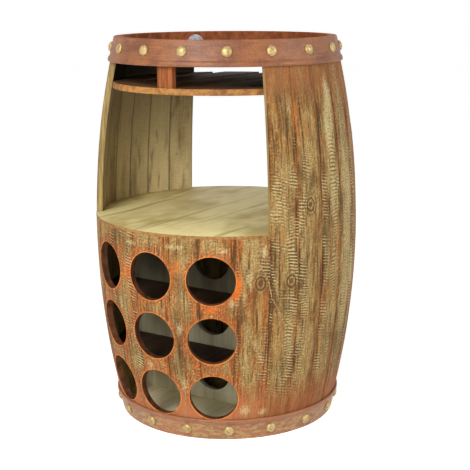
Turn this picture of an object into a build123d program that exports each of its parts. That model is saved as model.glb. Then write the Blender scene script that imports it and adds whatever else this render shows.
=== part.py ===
from build123d import *
import math
import os

# Barrel-shaped wine rack: staves bound by two hoops, open at the front and the back above a
# table shelf, with bottle holes below it, a glass rack above it and a hinged half lid on top.
# Millimetres, +Z up. The front faces -Y and the origin is the middle of the base on the floor.
# Angles are in degrees about the barrel's axis, counted from the front towards +X.

# Barrel shell
HEIGHT = 800.0
END_R = 228.0  # outside radius of the wall at the floor and at the rim
BULGE = 50.0  # how far the belly stands out past the ends
WALL = 14.0
OPENING_HALF = 51.5  # half the angle of the front opening, and of the back one
SIDE_STAVES = 6  # staves in each side wall
FACE_STAVES = 7  # staves across the front, and across the back
FIT = 0.3  # room between the wall and a board or block inside it

# Hoops and their nails
HOOP_H = 50.0  # upper hoop
LOW_HOOP_H = 46.0  # lower hoop, just under the lowest bottle holes
HOOP_T = 2.5
HOOP_FIT = 0.2  # room between a hoop and the staves
BEAD_H = 11.0
BEAD_OUT = 2.6  # how far the rolled bead stands out of the hoop
NAILS = 17
NAIL_START = 13.2  # angle of the first nail
NAIL_IN = 21.0  # nail axis below the rim, or above the floor
NAIL_R = 10.5
NAIL_DOME = 6.0
NAIL_L = 14.0  # shank below the dome
SHANK_R = 1.5

# Bottle holes
HOLE_R = 48.5
COLUMN_STEP = 27.2  # angle between columns
COLUMNS = 3
ROWS = 3
ROW_LOW = 95.0  # middle of the lowest row
ROW_PITCH = 124.0

# Bottle bay
FLOOR_DROP = 78.0  # board under a row, below the middle of its holes
BOTTOM_T = 12.0
PANEL_FRONT = 60.0  # panel face in front of the barrel's axis
PANEL_T = 12.0
PANEL_HOLE_DROP = 6.0  # panel holes below the middle of their row
SHELF_T = 12.0
SHELF_DEPTH = 125.0
BATTEN = 14.0  # side of the square battens under the shelves
BATTEN_L = 120.0
BATTEN_CLEAR = 12.0  # batten end from the edge of the panel's holes
LEDGE_H = 15.0
LEDGE_W = 18.0
LEDGE_FROM = 55.0
LEDGE_TO = 73.0

# Table shelf
TABLE_LAND = 41.5  # table top above the top row of holes
TABLE_T = 18.0
TABLE_LIP = 6.0  # lip over the ends of the front and back staves
TABLE_PLANKS = 5

# Glass rack
FOOT_SPACE = 42.0  # rack top below the head
RACK_T = 12.0
SLOTS = 4
SLOT_PITCH = 95.0
SLOT_W = 22.0
SLOT_LAND = 75.0  # board left in front of the slots
POST_W = 35.0
POST_D = 14.0
POST_SHIFT = 14.0  # post to one side of the barrel's front line

# Head
RING_T = 8.0
RING_LAP = 12.0  # lid edge resting on the ring
LID_T = 14.0
LID_GAP = 2.5  # lid edge from the narrowest part of the wall
LID_SEAT = 0.3  # room between the lid and the ring
MEETING_GAP = 1.0  # between the lid and the fixed half

# Hinges
HINGE_X = 110.0
LEAF_L = 50.0
LEAF_W = 22.0
LEAF_T = 1.5
LEAF_FIT = 0.1
KNUCKLE_R = 3.0
KNUCKLE_CLEAR = 0.4
KNUCKLE_MID = 20.0  # length of the lid leaf's knuckle
KNUCKLE_GAP = 0.3
PIN_R = 1.2
PIN_FIT = 0.05
LEAF_SCREW_X = 16.0
LEAF_SCREW_Y = 13.0

# Lid knob
KNOB_OUT = 107.0  # knob in front of the hinge line
BALL_R = 15.0
BALL_UP = 18.0  # middle of the ball above the lid
COLLAR_R = 9.0
COLLAR_H = 3.0
NECK_R = 5.0
BOLT_R = 2.5
BOLT_IN = 12.0  # bolt inside the knob
BOLT_HEAD_R = 5.0
BOLT_HEAD_H = 3.0

# Screws and dowels
SCREW_FIT = 0.05
SCREW_R = 1.5
SCREW_L = 9.0
SCREW_HEAD_R = 2.8
SCREW_HEAD_H = 1.3
POST_SCREW_R = 2.0
POST_SCREW_L = 34.0
POST_SCREW_HEAD_R = 4.0
POST_SCREW_HEAD_H = 2.0
DOWEL_R = 3.0
DOWEL_IN_BOARD = 16.0
DOWEL_IN_WALL = 9.0
BOTTOM_DOWELS = 4
PANEL_DOWEL_X = 90.0

# Places that follow from the sizes above
MID_Z = HEIGHT / 2
BELLY_R = END_R + BULGE
ARC_R = (MID_Z**2 + BULGE**2) / (2 * BULGE)  # radius of the barrel's side profile
SIDE_STEP = (180 - 2 * OPENING_HALF) / SIDE_STAVES
FACE_STEP = 2 * OPENING_HALF / FACE_STAVES
HEAD_Z = HEIGHT - HOOP_H
RACK_Z = HEAD_Z - FOOT_SPACE
ROW_Z = [ROW_LOW + row * ROW_PITCH for row in range(ROWS)]
FLOOR_Z = [z - FLOOR_DROP for z in ROW_Z]
TABLE_Z = ROW_Z[-1] + HOLE_R + TABLE_LAND
FACE_TOP = TABLE_Z - TABLE_LIP
LID_Z = HEAD_Z + RING_T
LID_TOP = LID_Z + LID_T
HINGE_Z = LID_TOP + KNUCKLE_R - LEAF_T


def wall_r(z, inset):
    """Radius of the wall profile at a height, inset square to its outside."""
    return math.sqrt((ARC_R - inset) ** 2 - (z - MID_Z) ** 2) - (ARC_R - BELLY_R)


def profile(inset, low, high):
    """The wall's side profile between two heights, as an arc in the XZ plane."""
    ends = [(wall_r(z, inset), z) for z in (low, (low + high) / 2, high)]
    return ThreePointArc(*ends)


def turned(edges, start=0.0, end=360.0):
    """Solid swept about the barrel's axis by a closed outline, from one angle to another."""
    outline = Plane.XZ * make_face(edges)
    return Rot(0, 0, start - 90) * revolve(outline, Axis.Z, end - start)


def shell(inner, outer, low, high, start=0.0, end=360.0):
    """Piece of a wall between two insets, two heights and two angles."""
    inside = profile(inner, low, high)
    outside = profile(outer, low, high)
    ends = [Line(inside @ at, outside @ at) for at in (0, 1)]
    return turned([inside, outside, *ends], start, end)


def board(low, high):
    """Round board that fits inside the wall between two heights."""
    edge = profile(WALL + FIT, low, high)
    return turned([edge, Line(edge @ 1, (0, high)), Line((0, high), (0, low)), Line((0, low), edge @ 0)])


def block(x_span, y_span, z_span):
    """Box between two values on each axis."""
    size = [high - low for low, high in (x_span, y_span, z_span)]
    middle = [(high + low) / 2 for low, high in (x_span, y_span, z_span)]
    return Pos(*middle) * Box(*size)


def upright(x, y, low, high, radius):
    """Vertical rod between two heights."""
    return Pos(x, y, (low + high) / 2) * Cylinder(radius, high - low)


def radial_rod(angle, z, near, far, radius):
    """Level rod that points away from the barrel's axis."""
    around = math.radians(angle - 90)
    plane = Plane((0, 0, z), z_dir=(math.cos(around), math.sin(around), 0))
    return plane * Pos(0, 0, (near + far) / 2) * Cylinder(radius, far - near)


def countersunk(radius, length, head_r, head_h):
    """Screw with its head's flat at the origin, pointing down."""
    shank = Pos(0, 0, -length / 2) * Cylinder(radius, length)
    return shank + Pos(0, 0, -head_h / 2) * Cone(radius, head_r, head_h)


def save(node, *pieces):
    """Writes a node as its separate solids."""
    solids = [solid for piece in pieces for solid in piece.solids()]
    export_step(Compound(children=solids), os.path.join("parts", node + ".step"))


os.makedirs("parts", exist_ok=True)

# Hoop nails: one nail along +Z, then a place square to the hoop for each
cap_r = (NAIL_R**2 + NAIL_DOME**2) / (2 * NAIL_DOME)
half_way = math.asin(NAIL_R / cap_r) / 2
cap_mid = (cap_r * math.sin(half_way), NAIL_DOME - cap_r + cap_r * math.cos(half_way))
nail = turned([
    ThreePointArc((NAIL_R, 0), cap_mid, (0, NAIL_DOME)),
    Polyline((0, NAIL_DOME), (0, -NAIL_L), (SHANK_R, -NAIL_L), (SHANK_R, 0), (NAIL_R, 0)),
])
nail_hole = upright(0, 0, -NAIL_L - SHANK_R, SHANK_R, SHANK_R + SCREW_FIT)
NAIL_ANGLES = [NAIL_START + nth * 360 / NAILS for nth in range(NAILS)]


def nail_place(angle, z):
    """Plane on the outside of a hoop, facing square out of it."""
    around = math.radians(angle - 90)
    hoop_face = -(HOOP_FIT + HOOP_T)
    tilt = math.asin((z - MID_Z) / (ARC_R - hoop_face))
    level = (math.cos(around), math.sin(around))
    radius = wall_r(z, hoop_face)
    facing = (level[0] * math.cos(tilt), level[1] * math.cos(tilt), math.sin(tilt))
    return Plane((level[0] * radius, level[1] * radius, z), z_dir=facing)


# What is bored into the wall: its angle, how far it reaches either side, and its cutter
bored = []
for hoop, nail_z in (("top", HEIGHT - NAIL_IN), ("bottom", NAIL_IN)):
    places = [nail_place(angle, nail_z) for angle in NAIL_ANGLES]
    reach = math.degrees(2 * SHANK_R / END_R)
    bored.extend((angle, reach, place * nail_hole) for angle, place in zip(NAIL_ANGLES, places))
    save(hoop + "_hoop_nails", *[place * nail for place in places])

for row_z in ROW_Z:
    for column in range(COLUMNS):
        hole_angle = (column - (COLUMNS - 1) / 2) * COLUMN_STEP
        reach = math.degrees(math.asin(HOLE_R / END_R))
        bored.append((hole_angle, reach, radial_rod(hole_angle, row_z, PANEL_FRONT, 2 * BELLY_R, HOLE_R)))


def dowels(angles, z):
    """Level dowels between a board and the wall, with their holes."""
    face = wall_r(z, WALL)
    near = face - DOWEL_IN_BOARD
    far = face + DOWEL_IN_WALL
    pins = [radial_rod(angle, z, near, far, DOWEL_R) for angle in angles]
    ends = (near - SCREW_FIT, far + SCREW_FIT)
    holes = [radial_rod(angle, z, *ends, DOWEL_R + SCREW_FIT) for angle in angles]
    reach = math.degrees(2 * DOWEL_R / END_R)
    bored.extend((angle, reach, hole) for angle, hole in zip(angles, holes))
    return pins, holes


rack_angles = [side + step * SIDE_STEP for side in (90, 270) for step in (-1.5, -0.5, 0.5, 1.5)]
rack_pins, rack_pin_holes = dowels(rack_angles, RACK_Z - RACK_T / 2)
bottom_angles = [(nth + 0.5) * 360 / BOTTOM_DOWELS for nth in range(BOTTOM_DOWELS)]
bottom_pins, bottom_pin_holes = dowels(bottom_angles, FLOOR_Z[0] - BOTTOM_T / 2)


def stave(start, end, low, high):
    """Stave between two angles and two heights, with what is bored into it."""
    cutters = []
    for angle, reach, cutter in bored:
        apart = abs((angle - (start + end) / 2 + 180) % 360 - 180)
        box = cutter.bounding_box()
        if apart < (end - start) / 2 + reach and box.min.Z < high and box.max.Z > low:
            cutters.append(cutter)
    return shell(WALL, 0, low, high, start, end) - cutters


# Side walls, from the front opening round to the back one
for nth in range(SIDE_STAVES):
    first = OPENING_HALF + nth * SIDE_STEP
    save(f"right_stave_{nth + 1}", stave(first, first + SIDE_STEP, 0, HEIGHT))
    save(f"left_stave_{nth + 1}", stave(-first - SIDE_STEP, -first, 0, HEIGHT))

# Lower walls under the table shelf, and the short head staves over the openings
for face, turn in (("front", 0), ("back", 180)):
    head_staves = []
    for nth in range(FACE_STAVES):
        first = turn - OPENING_HALF + nth * FACE_STEP
        save(f"{face}_stave_{nth + 1}", stave(first, first + FACE_STEP, 0, FACE_TOP))
        head_staves.append(stave(first, first + FACE_STEP, HEAD_Z, HEIGHT))
    save(face + "_head_staves", *head_staves)

# Hoops, each with a rolled bead on the edge that faces the belly
for hoop, edge_z, end_z in (("top", HEAD_Z, HEIGHT), ("bottom", LOW_HOOP_H, 0)):
    inwards = math.copysign(1, end_z - edge_z)
    bead_z = edge_z + inwards * BEAD_H
    hoop_face = -(HOOP_FIT + HOOP_T)
    inside = profile(-HOOP_FIT, edge_z, end_z)
    outside = profile(hoop_face, bead_z, end_z)
    edge = (wall_r(edge_z, hoop_face), edge_z)
    crown_z = (edge_z + bead_z) / 2
    bead = ThreePointArc(edge, (wall_r(crown_z, hoop_face) + BEAD_OUT, crown_z), outside @ 0)
    ring = turned([inside, outside, bead, Line(inside @ 0, edge), Line(inside @ 1, outside @ 1)])
    nail_z = end_z - inwards * NAIL_IN
    save(hoop + "_hoop", ring - [nail_place(angle, nail_z) * nail_hole for angle in NAIL_ANGLES])

# Bottom board and the upright panel that stands on it
panel_span = (-PANEL_FRONT, -PANEL_FRONT + PANEL_T)
panel_mid = sum(panel_span) / 2
panel_low = FLOOR_Z[0]
panel_high = TABLE_Z - TABLE_T
panel_pins = []
panel_pin_holes = []
for x in (-PANEL_DOWEL_X, PANEL_DOWEL_X):
    for seat in (panel_low, panel_high):
        reach = BOTTOM_T / 2
        panel_pins.append(upright(x, panel_mid, seat - reach, seat + reach, DOWEL_R))
        end = reach + SCREW_FIT
        panel_pin_holes.append(upright(x, panel_mid, seat - end, seat + end, DOWEL_R + SCREW_FIT))
save("panel_dowels", *panel_pins)
save("bottom_board", board(FLOOR_Z[0] - BOTTOM_T, FLOOR_Z[0]) - bottom_pin_holes - panel_pin_holes)
save("bottom_dowels", *bottom_pins)

panel = board(panel_low, panel_high) & block((-BELLY_R, BELLY_R), panel_span, (0, HEIGHT))
for row_z in ROW_Z:
    panel = panel - radial_rod(0, row_z - PANEL_HOLE_DROP, 0, BELLY_R, HOLE_R)
save("bottle_panel", panel - panel_pin_holes)

# Bottle shelves of the upper rows, on battens along the panel and ledges on the side walls
battens = []
ledges = []
shelf_span = (-PANEL_FRONT - SHELF_DEPTH, -PANEL_FRONT)
for nth, floor_z in enumerate(FLOOR_Z[1:]):
    under = floor_z - SHELF_T
    shelf = board(under, floor_z) & block((-BELLY_R, BELLY_R), shelf_span, (0, HEIGHT))
    save(f"bottle_shelf_{nth + 1}", shelf)
    for side in (-1, 1):
        ends = sorted(side * (HOLE_R + BATTEN_CLEAR + run) for run in (0, BATTEN_L))
        battens.append(block(ends, (-PANEL_FRONT - BATTEN, -PANEL_FRONT), (under - BATTEN, under)))
        turn = sorted(side * angle for angle in (LEDGE_FROM, LEDGE_TO))
        ledges.append(shell(WALL + LEDGE_W, WALL + FIT, under - LEDGE_H, under, *turn))
save("shelf_battens", *battens)
save("shelf_ledges", *ledges)

# Table shelf: planks from front to back, with a lip out over the stave ends
table = board(TABLE_Z - TABLE_T, TABLE_Z)
lip_half = OPENING_HALF - math.degrees(FIT / END_R)
for turn in (0, 180):
    table = table + shell(2 * WALL, 0, FACE_TOP, TABLE_Z, turn - lip_half, turn + lip_half)
table = table - panel_pin_holes
plank_w = 2 * BELLY_R / TABLE_PLANKS
for nth in range(TABLE_PLANKS):
    plank_x = -BELLY_R + nth * plank_w
    plank = table & block((plank_x, plank_x + plank_w), (-BELLY_R, BELLY_R), (0, HEIGHT))
    save(f"table_plank_{nth + 1}", plank)

# Glass rack, with stem slots that open at the back, and the posts that hang it from the head
rack_r = wall_r(RACK_Z, WALL + FIT)
rack_span = (RACK_Z - 2 * RACK_T, RACK_Z + RACK_T)
rack = board(RACK_Z - RACK_T, RACK_Z) - rack_pin_holes
for nth in range(SLOTS):
    slot_x = (nth - (SLOTS - 1) / 2) * SLOT_PITCH
    slot_end = SLOT_LAND - math.sqrt(rack_r**2 - slot_x**2)
    rack = rack - block((slot_x - SLOT_W / 2, slot_x + SLOT_W / 2), (slot_end, BELLY_R), rack_span)
    rack = rack - upright(slot_x, slot_end, *rack_span, SLOT_W / 2)
post_y = math.sqrt(rack_r**2 - (abs(POST_SHIFT) + POST_W / 2) ** 2)
post_x_span = (POST_SHIFT - POST_W / 2, POST_SHIFT + POST_W / 2)
post = block(post_x_span, (-post_y, -post_y + POST_D), (RACK_Z, HEAD_Z))
post_place = Pos(POST_SHIFT, -post_y + POST_D / 2, RACK_Z - RACK_T) * Rot(180, 0, 0)
post_screw = post_place * countersunk(POST_SCREW_R, POST_SCREW_L, POST_SCREW_HEAD_R, POST_SCREW_HEAD_H)
post_bore = post_place * countersunk(
    POST_SCREW_R + SCREW_FIT,
    POST_SCREW_L + SCREW_FIT,
    POST_SCREW_HEAD_R + SCREW_FIT,
    POST_SCREW_HEAD_H,
)
post = post - post_bore
half_turn = Rot(0, 0, 180)
rack = rack - post_bore - half_turn * post_bore
save("glass_rack", rack)
save("rack_dowels", *rack_pins)
save("front_post", post)
save("rear_post", half_turn * post)
save("post_screws", post_screw, half_turn * post_screw)

# Head ring, the fixed rear half of the head and the lid
lid_r = wall_r(HEIGHT, WALL) - LID_GAP
save("head_ring", board(HEAD_Z, LID_Z) - upright(0, 0, HEAD_Z, LID_Z, lid_r - RING_LAP))
rear_half = block((-BELLY_R, BELLY_R), (MEETING_GAP / 2, BELLY_R), (LID_Z, LID_TOP))
front_half = block((-BELLY_R, BELLY_R), (-BELLY_R, -MEETING_GAP / 2), (LID_Z, LID_TOP))
fixed_head = board(LID_Z, LID_TOP) & rear_half
lid = upright(0, 0, LID_Z + LID_SEAT, LID_TOP, lid_r) & front_half

# Butt hinges let into the top of both halves, with the knuckles standing above the joint
leaf_z = (LID_TOP - LEAF_T, LID_TOP)
screw = countersunk(SCREW_R, SCREW_L, SCREW_HEAD_R, SCREW_HEAD_H)
screw_bore = countersunk(SCREW_R + SCREW_FIT, SCREW_L + SCREW_FIT, SCREW_HEAD_R + SCREW_FIT, SCREW_HEAD_H)


def knuckle(x_span):
    """Rolled end of a leaf about the hinge pin, between two values of x."""
    length = x_span[1] - x_span[0]
    along = Pos(sum(x_span) / 2, 0, HINGE_Z) * Rot(0, 90, 0)
    return along * (Cylinder(KNUCKLE_R, length) - Cylinder(PIN_R + PIN_FIT, length))


parts_of = {"fixed": ([], []), "lid": ([], [])}
pins = []
for hinge_x in (-HINGE_X, HINGE_X):
    ends = (hinge_x - LEAF_L / 2, hinge_x + LEAF_L / 2)
    mid = KNUCKLE_MID / 2
    knuckles = {
        "fixed": [(ends[0], hinge_x - mid - KNUCKLE_GAP), (hinge_x + mid + KNUCKLE_GAP, ends[1])],
        "lid": [(hinge_x - mid, hinge_x + mid)],
    }
    pin = Pos(hinge_x, 0, HINGE_Z) * Rot(0, 90, 0) * Cylinder(PIN_R, LEAF_L)
    pins.append(pin)
    groove = Pos(hinge_x, 0, HINGE_Z) * Rot(0, 90, 0)
    groove = groove * Cylinder(KNUCKLE_R + KNUCKLE_CLEAR, LEAF_L + 2 * LEAF_FIT)
    fixed_head = fixed_head - groove
    lid = lid - groove
    pin_room = Pos(hinge_x, 0, HINGE_Z) * Rot(0, 90, 0) * Cylinder(PIN_R + PIN_FIT, LEAF_L)
    for half, side in (("fixed", 1), ("lid", -1)):
        near = side * (KNUCKLE_R + KNUCKLE_CLEAR)
        leaf = block(ends, sorted((near, side * LEAF_W)), leaf_z)
        for span in knuckles[half]:
            leaf = leaf + block(span, sorted((0, near)), leaf_z) + knuckle(span)
        leaf = leaf - pin_room
        room = (ends[0] - LEAF_FIT, ends[1] + LEAF_FIT)
        pocket = block(room, sorted((0, side * (LEAF_W + LEAF_FIT))), leaf_z)
        half_board = (fixed_head if half == "fixed" else lid) - pocket
        for screw_x in (hinge_x - LEAF_SCREW_X, hinge_x + LEAF_SCREW_X):
            place = Pos(screw_x, side * LEAF_SCREW_Y, LID_TOP)
            parts_of[half][1].append(place * screw)
            leaf = leaf - place * screw_bore
            half_board = half_board - place * screw_bore
        parts_of[half][0].append(leaf)
        if half == "fixed":
            fixed_head = half_board
        else:
            lid = half_board
for half, (leaves, screws) in parts_of.items():
    save(f"hinge_leaves_{half}", *leaves)
    save(f"hinge_screws_{half}", *screws)
save("hinge_pins", *pins)
save("fixed_head", fixed_head)

# Lid knob and the bolt that holds it from below
knob_place = Pos(0, -KNOB_OUT, LID_TOP)
knob = upright(0, 0, 0, COLLAR_H, COLLAR_R) + upright(0, 0, 0, BALL_UP, NECK_R)
knob = knob_place * (knob + Pos(0, 0, BALL_UP) * Sphere(BALL_R))
bolt_foot = LID_Z + LID_SEAT
bolt_tip = LID_TOP + BOLT_IN
bolt_bore = upright(0, -KNOB_OUT, bolt_foot, bolt_tip + SCREW_FIT, BOLT_R + SCREW_FIT)
bolt = upright(0, -KNOB_OUT, bolt_foot, bolt_tip, BOLT_R)
bolt = bolt + upright(0, -KNOB_OUT, bolt_foot - BOLT_HEAD_H, bolt_foot, BOLT_HEAD_R)
save("lid", lid - bolt_bore)
save("lid_knob", knob - bolt_bore)
save("knob_bolt", bolt)
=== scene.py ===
import math

import bpy
import numpy as np
from mathutils import Euler, Matrix, Vector, noise


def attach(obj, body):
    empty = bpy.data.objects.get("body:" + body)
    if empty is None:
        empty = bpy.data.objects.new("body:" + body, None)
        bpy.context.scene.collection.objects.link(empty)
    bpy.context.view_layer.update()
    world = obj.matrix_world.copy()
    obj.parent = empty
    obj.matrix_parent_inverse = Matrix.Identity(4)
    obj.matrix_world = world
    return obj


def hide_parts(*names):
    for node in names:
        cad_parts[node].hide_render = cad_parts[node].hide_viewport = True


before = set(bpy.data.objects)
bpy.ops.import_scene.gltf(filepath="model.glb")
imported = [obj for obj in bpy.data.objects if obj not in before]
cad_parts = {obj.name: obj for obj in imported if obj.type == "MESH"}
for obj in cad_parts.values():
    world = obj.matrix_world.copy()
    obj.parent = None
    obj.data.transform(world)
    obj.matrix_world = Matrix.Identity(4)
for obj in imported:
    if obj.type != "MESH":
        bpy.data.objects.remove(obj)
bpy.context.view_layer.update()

# Side walls: six full-height staves on each side, of soft wood hewn by hand across the grain.
# Painted in layers, rust brown first, then olive, then cream dragged over the crests of the tool marks.
# Their edges are worn round, so a rust-coloured valley shows at each joint. The two hoops hold them.
WALL_TALL = 0.8
BELLY_R = 0.278
WALL_ARC = 1.625
WALL_THICK = 0.014
OPENING_HALF = 51.5
SIDE_STAVES = 6
SIDE_STEP = (180 - 2 * OPENING_HALF) / SIDE_STAVES
SIDE_RUST = 0.3
EASED_EDGE = 0.0018
STAVE_COLUMNS = 20
MESH_STEP = 0.0014
UNROLL_R = 0.27
PAINT_R = 0.26
HEWN_SKIN = 0.004
CUT_FADE = 0.002
CHATTER_PITCH = 0.0061
CHATTER_CUT = 0.0014
BAND_HALF = 0.012
SIDE_BAND_OFF = 0.023
SIDE_BAND_HALF = 0.006
WAVE_CUT = 0.0009
SHOULDER_CUT = 0.0012
SHOULDER_WIDE = 0.009
SEAM_WIDE = 0.018
RIM_WIDE = 0.028
KNOT_CUT = 0.0012
KNOT_WIDE = 0.010
SCAR_CUT = 0.0007
SCAR_WIDE = 0.0018
BLUSH_FROM = 0.64
BLUSH_OVER = 0.11
# A place on the wall is its angle from the front towards the right, in degrees, and its height.
KNOTS = (
    (47.5, 0.337), (61.1, 0.336), (70.4, 0.483), (-63, 0.55), (-88, 0.22), (118, 0.63),
    (133, 0.19), (-121, 0.41), (198, 0.3), (164, 0.12), (221, 0.37),
)
SCAR = ((45.5, 0.385), (48.6, 0.362), (50.9, 0.338), (52.4, 0.305), (55.6, 0.278), (58.2, 0.248))
# A painted mark is its place, its width and its height.
CREAM_MARKS = (
    (85.6, 0.69, 0.015, 0.05), (83.9, 0.618, 0.018, 0.05), (84.6, 0.5, 0.017, 0.08),
    (42.1, 0.066, 0.018, 0.02), (50.5, 0.06, 0.012, 0.012), (13.5, 0.242, 0.012, 0.025),
    (31.8, 0.405, 0.022, 0.012), (-3.0, 0.155, 0.010, 0.02), (14.0, 0.12, 0.012, 0.03),
    (43.0, 0.35, 0.008, 0.035), (36.0, 0.3, 0.016, 0.02), (12.0, 0.408, 0.04, 0.010),
    (-10.0, 0.406, 0.03, 0.010), (49.0, 0.40, 0.012, 0.02), (-75, 0.6, 0.012, 0.06),
    (97, 0.45, 0.03, 0.4), (-97, 0.36, 0.010, 0.05), (104, 0.33, 0.008, 0.05), (150, 0.3, 0.012, 0.04),
    (205, 0.21, 0.012, 0.05),
)
ORANGE_MARKS = (
    (38.8, 0.333, 0.010, 0.03), (37.0, 0.31, 0.006, 0.012), (64.0, 0.42, 0.004, 0.035),
    (64.6, 0.66, 0.008, 0.05), (13.5, 0.37, 0.012, 0.02), (27.0, 0.284, 0.02, 0.008),
    (52.3, 0.6, 0.002, 0.15), (76.5, 0.36, 0.003, 0.05), (20.0, 0.16, 0.006, 0.012),
    (101, 0.62, 0.012, 0.10), (98, 0.42, 0.006, 0.08), (-13, 0.345, 0.01, 0.03), (-66, 0.31, 0.006, 0.04),
    (120, 0.44, 0.006, 0.05), (190, 0.39, 0.008, 0.02),
)
BLUSH_MARKS = ((112, 0.45, 0.022, 0.5), (-112, 0.5, 0.02, 0.4), (215, 0.2, 0.02, 0.3))


def wall_radius(z, inset):
    """Radius of the barrel's wall at a height, inset square to its outside."""
    return np.sqrt((WALL_ARC - inset) ** 2 - (z - WALL_TALL / 2) ** 2) - (WALL_ARC - BELLY_R)


def points(piece):
    """The piece's vertices as rows of x, y and z."""
    flat = np.empty(len(piece.data.vertices) * 3)
    piece.data.vertices.foreach_get("co", flat)
    return flat.reshape(-1, 3)


def set_points(piece, place):
    """Moves the piece's vertices to these rows of x, y and z."""
    piece.data.vertices.foreach_set("co", np.ascontiguousarray(place, dtype=float).ravel())
    piece.data.update()


def store(piece, name, values):
    """Keeps one number per vertex on the piece, for its material to read."""
    kept = piece.data.attributes.new(name, "FLOAT", "POINT")
    kept.data.foreach_set("value", np.ascontiguousarray(values, dtype=np.float32))


def pick(*pieces):
    """Selects these pieces and nothing else, and makes the first one active."""
    bpy.ops.object.select_all(action="DESELECT")
    for piece in pieces:
        piece.select_set(True)
    bpy.context.view_layer.objects.active = pieces[0]


def face_outwards():
    """Turns all faces of the active piece outwards."""
    bpy.ops.object.mode_set(mode="EDIT")
    bpy.ops.mesh.select_all(action="SELECT")
    bpy.ops.mesh.normals_make_consistent(inside=False)
    bpy.ops.object.mode_set(mode="OBJECT")


def flat_plank(name, columns, rows):
    """Plank of one unit each way, with a grid of faces on both broad sides."""
    bpy.ops.object.select_all(action="DESELECT")
    bpy.ops.mesh.primitive_grid_add(x_subdivisions=columns, y_subdivisions=rows, size=1)
    piece = bpy.context.object
    piece.name = name
    bpy.ops.object.mode_set(mode="EDIT")
    bpy.ops.mesh.select_all(action="SELECT")
    bpy.ops.mesh.extrude_region_move(TRANSFORM_OT_translate={"value": (0, 0, -1)})
    bpy.ops.object.mode_set(mode="OBJECT")
    face_outwards()
    return piece


def wrap(piece, start, end, low, high, outer, inner):
    """Bends a flat plank round the barrel between two angles, two heights and two insets."""
    flat = points(piece)
    turn = np.radians(start + (flat[:, 0] + 0.5) * (end - start))
    z = low + (flat[:, 1] + 0.5) * (high - low)
    radius = wall_radius(z, outer - flat[:, 2] * (inner - outer))
    set_points(piece, np.column_stack((radius * np.sin(turn), -radius * np.cos(turn), z)))


def apply_modifier(piece, kind, **settings):
    """Adds a modifier with these settings and applies it."""
    pick(piece)
    made = piece.modifiers.new(kind.lower(), kind)
    for key, value in settings.items():
        setattr(made, key, value)
    bpy.ops.object.modifier_apply(modifier=made.name)


def ease(piece, width, segments=3):
    """Rounds the piece's sharp edges, as sanding does."""
    apply_modifier(
        piece, "BEVEL", width=width, segments=segments, limit_method="ANGLE",
        angle_limit=math.radians(35), use_clamp_overlap=True,
    )


def smooth(piece, degrees=40):
    """Shades the piece smooth up to an angle between its faces."""
    pick(piece)
    bpy.ops.object.shade_smooth_by_angle(angle=math.radians(degrees))


def marks_at(marks, turn, z, radius):
    """How strongly each vertex lies in a list of painted marks, from 0 to 1."""
    total = np.zeros(len(z))
    for mark_turn, mark_z, wide, tall in marks:
        across = np.radians((turn - mark_turn + 180) % 360 - 180) * radius
        total += np.exp(-((across / wide) ** 2) - ((z - mark_z) / tall) ** 2)
    return np.clip(total, 0, 1)


def from_line(line, turn, z):
    """Distance of each vertex, laid flat, from a line of angles and heights."""
    flat = np.column_stack((np.radians(turn) * UNROLL_R, z))
    nearest = np.full(len(z), 1.0)
    for (turn_a, z_a), (turn_b, z_b) in zip(line, line[1:]):
        a = np.array((math.radians(turn_a) * UNROLL_R, z_a))
        run = np.array((math.radians(turn_b) * UNROLL_R, z_b)) - a
        share = np.clip((flat - a) @ run / (run @ run), 0, 1)
        nearest = np.minimum(nearest, np.linalg.norm(flat - a - share[:, None] * run, axis=1))
    return nearest


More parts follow.
